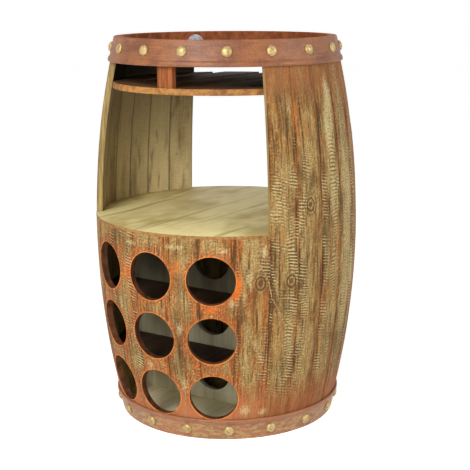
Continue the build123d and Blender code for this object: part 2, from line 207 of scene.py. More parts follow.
def hew(piece, number, start, end, rusty, rim_gap=None):
    """Cuts the tool marks of one stave into its outside, and keeps what its paint needs to know."""
    place = points(piece)
    z = place[:, 2]
    radius = np.hypot(place[:, 0], place[:, 1])
    depth = wall_radius(z, 0) - radius
    middle = (start + end) / 2
    turn = np.degrees(np.arctan2(place[:, 0], -place[:, 1]))
    turn = middle + (turn - middle + 180) % 360 - 180
    across = np.radians(turn - middle) * radius
    half = np.radians(end - start) / 2 * radius
    inside = half - np.abs(across)
    count = len(z)
    wobble = np.zeros(count)
    drift = np.zeros(count)
    rough = np.zeros(count)
    swell = np.zeros(count)
    for i in np.nonzero(depth < HEWN_SKIN)[0]:
        u = math.radians(turn[i]) * UNROLL_R
        wobble[i] = noise.noise(Vector((u * 20, z[i] * 13, number * 3.1)))
        drift[i] = noise.noise(Vector((u * 34, z[i] * 21, number * 1.7)))
        rough[i] = noise.noise(Vector((u * 15, z[i] * 7, number * 5.3 + 9)))
        swell[i] = noise.noise(Vector((u * 24, z[i] * 12, number * 2.3 + 31)))
    off_middle = across - 0.4 * half * math.sin(number * 2.3) - 0.008 * wobble
    wide = np.abs(off_middle) - 0.010 * rough
    side_band = np.abs(np.abs(off_middle) - SIDE_BAND_OFF) + 0.006 * rough
    band = np.clip((BAND_HALF - wide) / 0.005, 0, 1)
    band = np.maximum(band, 0.7 * np.clip((SIDE_BAND_HALF - side_band) / 0.004, 0, 1))
    band *= np.clip((inside - 0.004) / 0.005, 0, 1)
    pitch = CHATTER_PITCH * (1 + 0.16 * math.sin(number * 2.7))
    lean = 0.35 * math.sin(number * 4.1)
    phase = (z + lean * across) / pitch + 0.3 * (across / half) ** 2 + 1.5 * drift + number * 0.37
    ripple = np.sqrt(0.5 + 0.5 * np.sin(2 * math.pi * phase))
    middle_part = np.clip((z - 0.06) / 0.08, 0.1, 1) * np.clip((0.72 - z) / 0.14, 0.1, 1)
    band = band * np.clip(0.7 + 1.4 * swell, 0.15, 1) * middle_part * (1 - 0.45 * rusty)
    hollow = (1 - ripple) * band
    shoulder = np.clip(1 - inside / SHOULDER_WIDE, 0, 1) ** 2
    cut = CHATTER_CUT * hollow + WAVE_CUT * (0.5 - 0.5 * swell)
    cut += SHOULDER_CUT * (1 - 0.7 * rusty) * shoulder
    knot = np.full(count, 0.04)
    for knot_turn, knot_z in KNOTS:
        sideways = np.radians((turn - knot_turn + 180) % 360 - 180) * radius
        away = np.hypot(sideways, 0.75 * (z - knot_z))
        here = np.exp(-((away / KNOT_WIDE) ** 2))
        cut = cut * (1 - 0.8 * here) + KNOT_CUT * here
        hollow = hollow * (1 - here)
        knot = np.minimum(knot, away)
    scar = np.exp(-((from_line(SCAR, turn, z) / SCAR_WIDE) ** 2))
    cut += SCAR_CUT * scar
    fade = np.clip(1 - depth / CUT_FADE, 0, 1)
    rim = np.zeros(count)
    if rim_gap is not None:
        gap = rim_gap(place)
        fade *= np.clip((gap - RIM_ROUND) / 0.005, 0, 1)
        rim = np.clip(1 - gap / RIM_WIDE, 0, 1) ** 2
    place[:, :2] *= (1 - cut * fade / radius)[:, None]
    set_points(piece, place)
    store(piece, "hollow", hollow)
    store(piece, "band", band)
    store(piece, "seam", np.clip(1 - inside / SEAM_WIDE, 0, 1))
    store(piece, "rim", rim)
    store(piece, "knot", knot)
    store(piece, "scar", scar)
    store(piece, "cream", marks_at(CREAM_MARKS, turn, z, radius))
    store(piece, "orange", marks_at(ORANGE_MARKS, turn, z, radius))
    blush = marks_at(BLUSH_MARKS, turn, z, radius)
    store(piece, "blush", np.maximum(blush, np.clip((z - BLUSH_FROM) / BLUSH_OVER, 0, 1)))
    store(piece, "rusty", np.full(count, rusty))
    store(piece, "stave", np.full(count, number))
    store(piece, "arc", np.radians(turn) * PAINT_R)


def screen(red, green, blue):
    """A colour written as it looks on screen, 0 to 255, in the renderer's own values."""
    parts = [value / 255 for value in (red, green, blue)]
    return (*[((part + 0.055) / 1.055) ** 2.4 if part > 0.04045 else part / 12.92 for part in parts], 1)


def new_finish(name):
    """A new material, its node tree and its surface shader."""
    material = bpy.data.materials.new(name)
    material.use_nodes = True
    return material, material.node_tree, material.node_tree.nodes["Principled BSDF"]


def add(tree, kind, sockets, **settings):
    """Adds a shader node with these settings, and links or sets its sockets."""
    made = tree.nodes.new("ShaderNode" + kind)
    for key, value in settings.items():
        setattr(made, key, value)
    for key, value in sockets.items():
        if isinstance(value, bpy.types.NodeSocket):
            tree.links.new(value, made.inputs[key])
        else:
            made.inputs[key].default_value = value
    return made


def math_node(tree, operation, first, second):
    """One sum on two values."""
    return add(tree, "Math", {0: first, 1: second}, operation=operation).outputs[0]


def rise(tree, value, low, high):
    """A value that goes smoothly from 0 to 1 as another goes from low to high."""
    sockets = {"Value": value, "From Min": low, "From Max": high}
    return add(tree, "MapRange", sockets, interpolation_type="SMOOTHSTEP").outputs[0]


def mix(tree, share, first, second):
    """The first colour going over to the second by a share."""
    return add(tree, "Mix", {0: share, 6: first, 7: second}, data_type="RGBA").outputs[2]


def layer(tree, share, most, under, colour):
    """A colour laid over what is under it by a share, and at most this strongly."""
    return mix(tree, math_node(tree, "MULTIPLY", share, most), under, colour)


def stored(tree, name):
    """The number that the piece keeps on its vertices under this name."""
    return add(tree, "Attribute", {}, attribute_name=name).outputs["Fac"]


def pattern(tree, place, stretch, detail=3.0, rough=0.55):
    """Noise in lumps of these counts per metre along each way."""
    scaled = add(tree, "VectorMath", {0: place, 1: stretch}, operation="MULTIPLY").outputs[0]
    sockets = {"Vector": scaled, "Scale": 1.0, "Detail": detail, "Roughness": rough}
    return add(tree, "TexNoise", sockets).outputs[0]


def object_place(tree):
    """Object coordinates."""
    return add(tree, "TexCoord", {}).outputs["Object"]


def wall_place(tree):
    """Place on the wall: length of arc, height and the stave's number, so no two staves look alike."""
    upward = add(tree, "SeparateXYZ", {0: object_place(tree)}).outputs["Z"]
    return add(tree, "CombineXYZ", {0: stored(tree, "arc"), 1: upward, 2: stored(tree, "stave")}).outputs[0]


def bump(tree, height, depth, normal=None):
    """A surface normal bent by a height of this depth in metres."""
    sockets = {"Height": height, "Distance": depth, "Strength": 1.0}
    if normal is not None:
        sockets["Normal"] = normal
    return add(tree, "Bump", sockets).outputs[0]


def weighted(tree, *terms):
    """Sum of values, each times its weight."""
    total = None
    for value, weight in terms:
        part = math_node(tree, "MULTIPLY", value, weight)
        total = part if total is None else math_node(tree, "ADD", total, part)
    return total


def stave_paint():
    """Layered paint of the outside: rust brown in the valleys, olive on the bands, cream on the crests."""
    material, tree, shader = new_finish("stave_paint")
    wall = wall_place(tree)
    height = add(tree, "SeparateXYZ", {0: wall}).outputs["Y"]
    hollow = stored(tree, "hollow")
    band = stored(tree, "band")
    seam = stored(tree, "seam")
    rusty = stored(tree, "rusty")
    # Noise of many grains, from broad clouds to fine specks
    streak = pattern(tree, wall, (75.0, 9.0, 1.0), 4.0)
    stain = pattern(tree, wall, (48.0, 9.0, 3.0), 4.0)
    bloom = pattern(tree, wall, (30.0, 15.0, 4.0), 4.0)
    cloud = pattern(tree, wall, (22.0, 9.0, 5.0), 4.0)
    fibre = pattern(tree, wall, (420.0, 24.0, 1.0), 5.0, 0.65)
    crack = pattern(tree, wall, (170.0, 7.0, 8.0), 5.0, 0.6)
    speck = pattern(tree, wall, (230.0, 230.0, 1.0), 4.0, 0.7)
    grit = pattern(tree, wall, (330.0, 150.0, 9.0), 3.0, 0.7)
    slant = add(tree, "Mapping", {"Vector": wall, "Rotation": (0.0, 0.0, 0.7)}).outputs[0]
    chisel = pattern(tree, slant, (420.0, 85.0, 1.0), 3.0)
    # Upright lanes of the hewing, each with its own short cross ticks
    across = add(tree, "SeparateXYZ", {0: wall}).outputs["X"]
    shaky = pattern(tree, wall, (26.0, 17.0, 2.0), 3.0)
    lane = weighted(tree, (across, 52.0), (shaky, 1.6))
    valley = math_node(tree, "SUBTRACT", math_node(tree, "FRACT", lane, 0.0), 0.5)
    valley = rise(tree, math_node(tree, "ABSOLUTE", valley, 0.0), 0.3, 0.5)
    cell = math_node(tree, "FLOOR", lane, 0.0)
    cell = add(tree, "CombineXYZ", {0: cell, 1: stored(tree, "stave")}).outputs[0]
    chance = add(tree, "SeparateColor", {0: add(tree, "TexWhiteNoise", {"Vector": cell}).outputs["Color"]})
    phase = weighted(tree, (height, 1010.0), (across, 200.0), (chance.outputs[0], 60.0), (shaky, 9.0))
    column = rise(tree, weighted(tree, (chance.outputs[1], 0.6), (cloud, 0.7), (rusty, -0.12)), 0.42, 0.95)
    patch = rise(tree, pattern(tree, wall, (34.0, 24.0, 7.0), 3.0), 0.38, 0.6)
    below_top = weighted(tree, (rise(tree, height, 0.5, 0.66), -0.75), (1.0, 1.0))
    strength = math_node(tree, "MULTIPLY", math_node(tree, "MULTIPLY", column, patch), below_top)
    strength = math_node(tree, "MULTIPLY", strength, rise(tree, height, 0.04, 0.13))
    ticks = math_node(tree, "MULTIPLY", math_node(tree, "SINE", phase, 0.0), strength)
    # Rings of the knots, and how near a place is to the ends of the staves
    knot = stored(tree, "knot")
    in_knot = math_node(tree, "SUBTRACT", 1.0, rise(tree, knot, 0.008, 0.02))
    ring = math_node(tree, "SINE", weighted(tree, (knot, 950.0), (grit, 4.0), (cloud, 6.0)), 0.0)
    ring = math_node(tree, "MULTIPLY", ring, in_knot)
    low = math_node(tree, "SUBTRACT", 1.0, rise(tree, height, 0.05, 0.14))
    low = math_node(tree, "MULTIPLY", low, weighted(tree, (rusty, 0.25), (1.0, 0.75)))
    ends = math_node(tree, "MAXIMUM", low, rise(tree, height, 0.58, 0.76))
    # Brown ground, olive where that coat still covers, rust where it comes through
    colour = mix(tree, rise(tree, streak, 0.34, 0.64), screen(104, 68, 34), screen(164, 118, 62))
    covered = weighted(tree, (cloud, 1.0), (band, 0.2), (seam, -0.12), (rusty, -0.03), (ends, -0.14))
    covered = rise(tree, weighted(tree, (covered, 1.0), (grit, 0.35)), 0.54, 0.75)
    olive = mix(tree, rise(tree, speck, 0.35, 0.65), screen(138, 112, 60), screen(200, 174, 116))
    colour = layer(tree, covered, 0.85, colour, olive)
    halo = math_node(tree, "MULTIPLY", rusty, bloom)
    rim = stored(tree, "rim")
    rust = weighted(tree, (stain, 0.85), (halo, 0.32), (seam, 0.13), (rim, 0.36), (grit, 0.3), (ends, 0.06))
    rust = rise(tree, rust, 0.72, 0.87)
    red = mix(tree, rise(tree, speck, 0.38, 0.66), screen(134, 66, 30), screen(202, 106, 46))
    colour = layer(tree, rust, 0.7, colour, red)
    valley = math_node(tree, "MULTIPLY", valley, rise(tree, cloud, 0.35, 0.6))
    colour = layer(tree, valley, 0.5, colour, screen(132, 70, 34))
    # Dragged strokes, fibres, dark clouds and cracks
    stroke = math_node(tree, "MULTIPLY", rise(tree, chisel, 0.53, 0.65), 0.55)
    colour = mix(tree, stroke, colour, screen(200, 162, 96))
    scratch = math_node(tree, "SUBTRACT", 1.0, rise(tree, fibre, 0.36, 0.5))
    colour = layer(tree, scratch, 0.62, colour, screen(72, 46, 22))
    colour = layer(tree, rise(tree, fibre, 0.55, 0.68), 0.45, colour, screen(206, 182, 126))
    # Dark clouds of paint, laid on more strongly on the side staves than on the front, partly as painted
    # shade that darkens the side walls.
    shade = pattern(tree, wall, (24.0, 8.0, 13.0), 4.0)
    shade = math_node(tree, "SUBTRACT", 1.0, rise(tree, shade, 0.32, 0.52))
    shade = math_node(tree, "MULTIPLY", shade, weighted(tree, (rusty, -0.3), (1.0, 0.8)))
    colour = mix(tree, shade, colour, screen(80, 56, 28))
    split = weighted(tree, (crack, 1.0), (seam, 0.05), (rise(tree, seam, 0.8, 1.0), 0.1))
    colour = layer(tree, rise(tree, split, 0.55, 0.67), 0.85, colour, screen(68, 40, 17))
    # Ticks with a dark and a pale side, and the reddish upper end
    colour = layer(tree, rise(tree, ticks, 0.05, 0.7), 0.52, colour, screen(70, 44, 18))
    pale = rise(tree, weighted(tree, (ticks, -0.6), (speck, 0.8), (grit, 0.3)), 0.6, 1.15)
    colour = layer(tree, pale, 0.85, colour, screen(222, 202, 146))
    blush = rise(tree, weighted(tree, (stored(tree, "blush"), 0.8), (cloud, 0.8), (grit, 0.3)), 0.75, 1.25)
    colour = layer(tree, blush, 0.62, colour, screen(146, 92, 54))
    # Relief of the mesh: pale crests, dark hollows and knots
    crest = math_node(tree, "SUBTRACT", band, hollow)
    crest = rise(tree, weighted(tree, (crest, 0.7), (speck, 0.8), (rusty, -0.15)), 0.7, 1.15)
    colour = layer(tree, crest, 0.85, colour, screen(212, 190, 132))
    dip = rise(tree, weighted(tree, (hollow, 1.0), (grit, 0.7)), 0.5, 1.2)
    colour = layer(tree, dip, 0.75, colour, screen(74, 48, 22))
    colour = layer(tree, rise(tree, ring, 0.0, 0.5), 0.9, colour, screen(62, 30, 10))
    colour = layer(tree, in_knot, 0.12, colour, screen(196, 150, 92))
    # Pinkish rust at the foot, partly dust and partly painted light that lifts the shade above the lower
    # hoop, then cream and orange marks, worn rims and the scar
    foot_dust_and_light = mix(tree, rusty, screen(142, 74, 40), screen(190, 120, 80))
    foot_patches = rise(tree, weighted(tree, (cloud, 0.8), (grit, 0.5), (chisel, 0.5)), 0.55, 1.05)
    colour = layer(tree, math_node(tree, "MULTIPLY", low, foot_patches), 0.95, colour, foot_dust_and_light)
    cream = weighted(tree, (stored(tree, "cream"), 0.9), (hollow, -0.5), (ticks, -0.35))
    cream = weighted(tree, (cream, 0.9), (speck, 0.9), (grit, 0.8), (fibre, 0.7), (rusty, -0.15))
    colour = layer(tree, rise(tree, cream, 1.5, 2.15), 0.8, colour, screen(214, 196, 142))
    glow = weighted(tree, (stored(tree, "orange"), 0.7), (rim, 0.6), (speck, 1.3), (grit, 0.8))
    colour = layer(tree, rise(tree, glow, 1.35, 2.4), 0.9, colour, screen(228, 112, 30))
    worn_line = math_node(tree, "MULTIPLY", rise(tree, rim, 0.8, 0.92), rise(tree, cloud, 0.3, 0.6))
    colour = layer(tree, worn_line, 0.8, colour, screen(236, 142, 66))
    colour = layer(tree, rise(tree, stored(tree, "scar"), 0.4, 0.95), 0.6, colour, screen(212, 174, 112))
    tree.links.new(colour, shader.inputs["Base Color"])
    shader.inputs["Specular IOR Level"].default_value = 0.15
    dull = add(tree, "MapRange", {"Value": speck, "To Min": 0.5, "To Max": 0.8}).outputs[0]
    tree.links.new(dull, shader.inputs["Roughness"])
    normal = bump(tree, fibre, 0.0006)
    normal = bump(tree, chisel, 0.0007, normal)
    normal = bump(tree, ticks, -0.0006, normal)
    normal = bump(tree, ring, -0.0008, normal)
    tree.links.new(bump(tree, speck, 0.0006, normal), shader.inputs["Normal"])
    return material


def plain_wood(name, light, dark, stretch, painted_shade=None):
    """Stained or bare wood with its grain along one way, given as counts per metre.

    Painted shade is two heights and a dark colour that grows between them, so the wood is painted darker
    towards the top.
    """
    material, tree, shader = new_finish(name)
    place = object_place(tree)
    grain = pattern(tree, place, stretch, 5.0, 0.65)
    cloud = pattern(tree, place, tuple(max(3.0, count * 0.06) for count in stretch), 3.0)
    share = weighted(tree, (grain, 0.6), (cloud, 0.4))
    colour = mix(tree, rise(tree, share, 0.38, 0.62), dark, light)
    if painted_shade:
        low, high, shade_colour = painted_shade
        height = add(tree, "SeparateXYZ", {0: place}).outputs["Z"]
        # Painted shade: the dark colour is laid on more and more towards the top.
        colour = layer(tree, rise(tree, height, low, high), 0.88, colour, shade_colour)
    tree.links.new(colour, shader.inputs["Base Color"])
    shader.inputs["Specular IOR Level"].default_value = 0.2
    dull = add(tree, "MapRange", {"Value": grain, "To Min": 0.55, "To Max": 0.8}).outputs[0]
    tree.links.new(dull, shader.inputs["Roughness"])
    tree.links.new(bump(tree, grain, 0.0004), shader.inputs["Normal"])
    return material


def inside_wash():
    """Thin grey-olive wash inside the wall: each stave has its own tone, with dark lines at the joints, and
    painted shade that darkens it towards the top and turns it nearly black above the rack.
    """
    material, tree, shader = new_finish("inside_wash")
    wall = wall_place(tree)
    height = add(tree, "SeparateXYZ", {0: wall}).outputs["Y"]
    chance = add(tree, "TexWhiteNoise", {"W": stored(tree, "stave")}, noise_dimensions="1D").outputs[0]
    cloud = pattern(tree, wall, (28.0, 5.0, 1.0), 4.0)
    grain = pattern(tree, wall, (300.0, 9.0, 1.0), 5.0, 0.65)
    saw = pattern(tree, wall, (45.0, 330.0, 1.0), 3.0)
    share = weighted(tree, (chance, 0.3), (cloud, 0.9), (grain, 0.35), (saw, 0.25))
    colour = mix(tree, rise(tree, share, 0.55, 1.2), screen(124, 104, 66), screen(214, 194, 142))
    colour = layer(tree, rise(tree, stored(tree, "seam"), 0.82, 1.0), 0.7, colour, screen(56, 44, 26))
    # Painted shade: the wash darkens towards the top, where the rack and the head shade the wall.
    upper_shade = weighted(tree, (height, 1.0), (cloud, 0.35), (chance, 0.06))
    colour = layer(tree, rise(tree, upper_shade, 0.72, 0.9), 0.55, colour, screen(72, 58, 36))
    old_stain = pattern(tree, wall, (60.0, 12.0, 6.0), 4.0, 0.6)
    colour = layer(tree, rise(tree, old_stain, 0.54, 0.7), 0.5, colour, screen(78, 64, 40))
    # Painted shade: nearly black above the rack, where the space under the head lies in deep shade.
    colour = layer(tree, rise(tree, height, 0.69, 0.715), 0.8, colour, screen(34, 28, 20))
    tree.links.new(colour, shader.inputs["Base Color"])
    shader.inputs["Specular IOR Level"].default_value = 0.2
    shader.inputs["Roughness"].default_value = 0.75
    normal = bump(tree, grain, 0.0004)
    tree.links.new(bump(tree, saw, 0.0003, normal), shader.inputs["Normal"])
    return material


outside_paint = stave_paint()
cut_wood = plain_wood("cut_wood", screen(178, 154, 98), screen(132, 108, 62), (200.0, 200.0, 16.0))
inside_stain = inside_wash()
rim_paint = plain_wood("rim_paint", screen(168, 98, 58), screen(126, 66, 36), (90.0, 90.0, 60.0))
# Painted shade: dark brown in the bores, as the wall inside the holes lies in shade.
bore_shade = plain_wood("bore_shade", screen(112, 66, 38), screen(58, 36, 22), (90.0, 90.0, 60.0))
RIM_ROUND = 0.0012
LID_LEVEL = 0.772
BROAD_SIDE = 0.55
BORE_NEAR = 0.0006


def dress_stave(piece, rim_gap):
    """Paint outside, bare wood on the sawn sides, wash inside, rust inside the rim, and dark brown painted
    shade in the bores.
    """
    for material in (outside_paint, cut_wood, inside_stain, rim_paint, bore_shade):
        piece.data.materials.append(material)
    count = len(piece.data.polygons)
    centre = np.empty(count * 3)
    facing = np.empty(count * 3)
    piece.data.polygons.foreach_get("center", centre)
    piece.data.polygons.foreach_get("normal", facing)
    centre = centre.reshape(-1, 3)
    facing = facing.reshape(-1, 3)
    radius = np.hypot(centre[:, 0], centre[:, 1])
    outward = (facing[:, 0] * centre[:, 0] + facing[:, 1] * centre[:, 1]) / radius
    painted, sawn, washed, rim, bored = range(5)
    index = np.where(outward > BROAD_SIDE, painted, np.where(outward < -BROAD_SIDE, washed, sawn))
    index[(centre[:, 2] > LID_LEVEL) & (outward < BROAD_SIDE)] = rim
    # Faces in the bores get the dark brown painted shade.
    if rim_gap is not None:
        index[(rim_gap(centre) < BORE_NEAR) & (np.abs(outward) < BROAD_SIDE)] = bored
    piece.data.polygons.foreach_set("material_index", index.astype(np.int32))
    piece.data.update()


def make_stave(name, number, start, end, low, high, rusty, rim_gap=None, cutter=None):
    """One stave from a flat plank: bent, eased, bored where it has holes, hewn and painted.

    Its number makes its tool marks and its paint its own.
    """
    piece = flat_plank(name, STAVE_COLUMNS, round((high - low) / MESH_STEP))
    wrap(piece, start, end, low, high, 0, WALL_THICK)
    ease(piece, EASED_EDGE)
    if cutter is not None:
        apply_modifier(piece, "BOOLEAN", object=cutter, operation="DIFFERENCE", solver="EXACT")
    hew(piece, number, start, end, rusty, rim_gap)
    smooth(piece)
    dress_stave(piece, rim_gap)
    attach(piece, "barrel")
    return piece


for nth in range(SIDE_STAVES):
    first = OPENING_HALF + nth * SIDE_STEP
    last = first + SIDE_STEP
    right = make_stave(f"side_stave_right_{nth + 1}", nth + 1, first, last, 0, WALL_TALL, SIDE_RUST)
    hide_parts(f"right_stave_{nth + 1}")
    left = make_stave(f"side_stave_left_{nth + 1}", nth + 11, -last, -first, 0, WALL_TALL, SIDE_RUST)
    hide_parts(f"left_stave_{nth + 1}")

# Lower front wall: seven shorter staves under the table shelf, hewn and painted like the sides.
# Nine round holes are bored through the made-up wall in three rows of three, and their rims
# are rounded over, so the paint is worn through to bright orange wood there.
FACE_STAVES = 7
FACE_STEP = 2 * OPENING_HALF / FACE_STAVES
FACE_TOP = 0.427
FRONT_RUST = 0.9
HOLE_R = 0.0485
ROW_HEIGHTS = (0.095, 0.219, 0.343)
COLUMN_TURNS = (-27.2, 0.0, 27.2)
BORE_SIDES = 96
BORE_FROM = 0.15
BORE_PAST = 0.02
RIM_RINGS = 6


def lathe_blank(name, sides, rings):
    """Column of rings one unit apart, drawn up from a disc, for its rings to be placed in code."""
    bpy.ops.object.select_all(action="DESELECT")
    bpy.ops.mesh.primitive_cylinder_add(vertices=sides, radius=1, depth=1, location=(0, 0, 0.5))
    piece = bpy.context.object
    piece.name = name
    bpy.ops.object.transform_apply(location=True, rotation=True, scale=True)
    bpy.ops.object.mode_set(mode="EDIT")
    bpy.ops.mesh.select_mode(type="FACE")
    bpy.ops.mesh.select_all(action="DESELECT")
    bpy.ops.object.mode_set(mode="OBJECT")
    for face in piece.data.polygons:
        face.select = face.normal.z > 0.9
    bpy.ops.object.mode_set(mode="EDIT")
    for _ in range(rings - 2):
        bpy.ops.mesh.extrude_region_move(TRANSFORM_OT_translate={"value": (0, 0, 1)})
    bpy.ops.object.mode_set(mode="OBJECT")
    return piece


def hole_cutter(turn, row_z):
    """Cutter for one hole: a level round bar with a mouth that flares along the curved wall."""
    piece = lathe_blank("hole_cutter", BORE_SIDES, RIM_RINGS + 3)
    flat = points(piece)
    ring = np.round(flat[:, 2]).astype(int)
    around = np.arctan2(flat[:, 1], flat[:, 0])
    swing = np.clip((ring - 1) / RIM_RINGS, 0, 1) * math.pi / 2
    radius = HOLE_R + RIM_ROUND * (1 - np.cos(swing))
    below = RIM_ROUND * (1 - np.sin(swing))
    across = radius * np.cos(around)
    up = radius * np.sin(around)
    reach = np.sqrt(wall_radius(row_z + up, 0) ** 2 - across**2) - below
    reach = np.where(ring == 0, BORE_FROM, reach)
    reach = np.where(ring == RIM_RINGS + 2, reach + BORE_PAST, reach)
    side = math.radians(turn)
    x = reach * math.sin(side) + across * math.cos(side)
    y = -reach * math.cos(side) + across * math.sin(side)
    set_points(piece, np.column_stack((x, y, row_z + up)))
    face_outwards()
    return piece


def from_rim(place):
    """Distance of each vertex from the edge of the nearest round hole."""
    nearest = np.full(len(place), 1.0)
    for turn in COLUMN_TURNS:
        side = math.radians(turn)
        across = place[:, 0] * math.cos(side) + place[:, 1] * math.sin(side)
        for row_z in ROW_HEIGHTS:
            nearest = np.minimum(nearest, np.hypot(across, place[:, 2] - row_z) - HOLE_R)
    return nearest


bores = [hole_cutter(turn, row_z) for turn in COLUMN_TURNS for row_z in ROW_HEIGHTS]
pick(*bores)
bpy.ops.object.join()
for nth in range(FACE_STAVES):
    first = -OPENING_HALF + nth * FACE_STEP
    last = first + FACE_STEP
    name = f"face_stave_front_{nth + 1}"
    stave = make_stave(name, nth + 21, first, last, 0, FACE_TOP, FRONT_RUST, from_rim, bores[0])
    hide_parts(f"front_stave_{nth + 1}")
bpy.data.objects.remove(bores[0])

# Lower back wall: seven plain staves of the same height as the front ones, with no holes.
# Hewn, painted and held in the same way.
BACK_RUST = 0.6
for nth in range(FACE_STAVES):
    first = 180 - OPENING_HALF + nth * FACE_STEP
    last = first + FACE_STEP
    stave = make_stave(f"face_stave_back_{nth + 1}", nth + 31, first, last, 0, FACE_TOP, BACK_RUST)
    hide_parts(f"back_stave_{nth + 1}")

# Head staves: short pieces that close the ring of staves over the front and back openings.
# The upper hoop covers their outside, so only their sawn ends and their rust-painted inside show.


def finish_node(node, material):
    """Gives this finish to a CAD node that keeps its own shape."""
    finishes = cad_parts[node].data.materials
    finishes.clear()
    finishes.append(material)


for node in ("front_head_staves", "back_head_staves"):
    finish_node(node, rim_paint)

# Hoops: two bands of sheet metal with a rolled bead on the edge that faces the belly.
# Shrunk on over the staves and painted a matt rust colour, with small stains and khaki patches, and with
# painted light that makes the lower hoop lighter.
TOP_HOOP_LOW = 0.75
BOTTOM_HOOP_HIGH = 0.046
HOOP_GAP = 0.0002
HOOP_THICK = 0.0025
HOOP_EASE = 0.0008
HOOP_DENT = 0.0005
BEAD_TALL = 0.011
BEAD_OUT = 0.0026
HOOP_COLUMNS = 240
HOOP_ROWS = 40


def hoop_paint():
    """Matt rust paint with lighter rubbed clouds, dark stains and fine brush lines round the band, painted
    lighter low down as painted light.
    """
    material, tree, shader = new_finish("hoop_paint")
    place = object_place(tree)
    cloud = pattern(tree, place, (16.0, 16.0, 36.0), 4.0)
    stain = pattern(tree, place, (70.0, 70.0, 90.0), 5.0, 0.65)
    line = pattern(tree, place, (24.0, 24.0, 600.0), 4.0)
    colour = mix(tree, rise(tree, cloud, 0.36, 0.64), screen(112, 62, 33), screen(142, 86, 47))
    colour = layer(tree, rise(tree, line, 0.5, 0.72), 0.45, colour, screen(182, 128, 84))
    height = add(tree, "SeparateXYZ", {0: place}).outputs["Z"]
    # Painted light: the lower hoop is painted lighter, as if more brightly lit.
    lower = math_node(tree, "SUBTRACT", 1.0, rise(tree, height, 0.03, 0.1))
    colour = layer(tree, lower, 0.3, colour, screen(200, 140, 100))
    band_low = math_node(tree, "SUBTRACT", 1.0, rise(tree, height, 0.031, 0.038))
    brushed = pattern(tree, place, (55.0, 55.0, 150.0), 5.0, 0.65)
    brushed = math_node(tree, "MULTIPLY", rise(tree, brushed, 0.45, 0.6), band_low)
    colour = layer(tree, brushed, 0.6, colour, screen(186, 162, 104))
    fine = pattern(tree, place, (260.0, 260.0, 320.0), 4.0, 0.7)
    colour = layer(tree, rise(tree, fine, 0.52, 0.68), 0.35, colour, screen(182, 122, 76))
    rough_dark = math_node(tree, "SUBTRACT", 1.0, rise(tree, fine, 0.34, 0.48))
    colour = layer(tree, rough_dark, 0.4, colour, screen(92, 50, 30))
    dark = math_node(tree, "SUBTRACT", 1.0, rise(tree, stain, 0.3, 0.46))
    colour = layer(tree, dark, 0.4, colour, screen(86, 48, 28))
    tree.links.new(colour, shader.inputs["Base Color"])
    dull = add(tree, "MapRange", {"Value": stain, "To Min": 0.36, "To Max": 0.66}).outputs[0]
    tree.links.new(dull, shader.inputs["Roughness"])
    normal = bump(tree, line, 0.0002)
    tree.links.new(bump(tree, stain, 0.0004, normal), shader.inputs["Normal"])
    return material


rust_paint = hoop_paint()
for hoop, low, high, bead_edge in (
    ("top", TOP_HOOP_LOW, WALL_TALL, TOP_HOOP_LOW),
    ("bottom", 0.0, BOTTOM_HOOP_HIGH, BOTTOM_HOOP_HIGH),
):
    band = flat_plank(f"{hoop}_band", HOOP_COLUMNS, HOOP_ROWS)
    bpy.ops.object.mode_set(mode="EDIT")
    bpy.ops.mesh.select_mode(type="FACE")
    bpy.ops.mesh.select_all(action="DESELECT")
    bpy.ops.object.mode_set(mode="OBJECT")
    for face in band.data.polygons:
        face.select = abs(face.normal.x) > 0.9
    bpy.ops.object.mode_set(mode="EDIT")
    bpy.ops.mesh.delete(type="FACE")
    bpy.ops.object.mode_set(mode="OBJECT")
    wrap(band, 0, 360, low, high, -HOOP_GAP - HOOP_THICK, -HOOP_GAP)
    bpy.ops.object.mode_set(mode="EDIT")
    bpy.ops.mesh.select_all(action="SELECT")
    bpy.ops.mesh.remove_doubles(threshold=0.00002)
    bpy.ops.object.mode_set(mode="OBJECT")
    ease(band, HOOP_EASE)
    place = points(band)
    radius = np.hypot(place[:, 0], place[:, 1])
    outer = np.clip((radius - wall_radius(place[:, 2], -HOOP_GAP)) / HOOP_THICK, 0, 1)
    from_edge = np.abs(place[:, 2] - bead_edge) / BEAD_TALL
    bead = BEAD_OUT * np.sqrt(np.clip(1 - (2 * from_edge - 1) ** 2, 0, 1))
    dents = np.array([noise.noise(Vector((p[0] * 9, p[1] * 9, p[2] * 16))) for p in place])
    grow = outer * (bead - HOOP_DENT * np.clip(dents + 0.3, 0, 1))
    place[:, :2] *= (1 + grow / radius)[:, None]
    set_points(band, place)
    smooth(band, 50)
    band.data.materials.append(rust_paint)
    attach(band, "barrel")
    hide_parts(f"{hoop}_hoop")

# Hoop nails: seventeen round each hoop, with large domed heads of aged brass, slightly dented.
# Driven through the hoop into the staves.
NAIL_COUNT = 17
NAIL_TURN = 13.2
NAIL_R = 0.0105
NAIL_DOME = 0.006
NAIL_LIP = 0.0004
NAIL_DENT = 0.0002
NAIL_SINK = 0.0002
NAIL_IN = 0.021
NAIL_SIDES = 28
NAIL_RINGS = 9


def nail_finish():
    """Aged brass, with brown tarnish in patches."""
    material, tree, shader = new_finish("nail_finish")
    place = object_place(tree)
    tarnish = pattern(tree, place, (190.0, 190.0, 190.0), 4.0, 0.6)
    spot = pattern(tree, place, (700.0, 700.0, 700.0), 3.0)
    colour = mix(tree, rise(tree, tarnish, 0.36, 0.6), screen(152, 126, 74), screen(194, 168, 112))
    tree.links.new(colour, shader.inputs["Base Color"])
    shader.inputs["Metallic"].default_value = 0.35
    dull = add(tree, "MapRange", {"Value": tarnish, "To Min": 0.5, "To Max": 0.34}).outputs[0]
    tree.links.new(dull, shader.inputs["Roughness"])
    tree.links.new(bump(tree, spot, 0.0001), shader.inputs["Normal"])
    return material


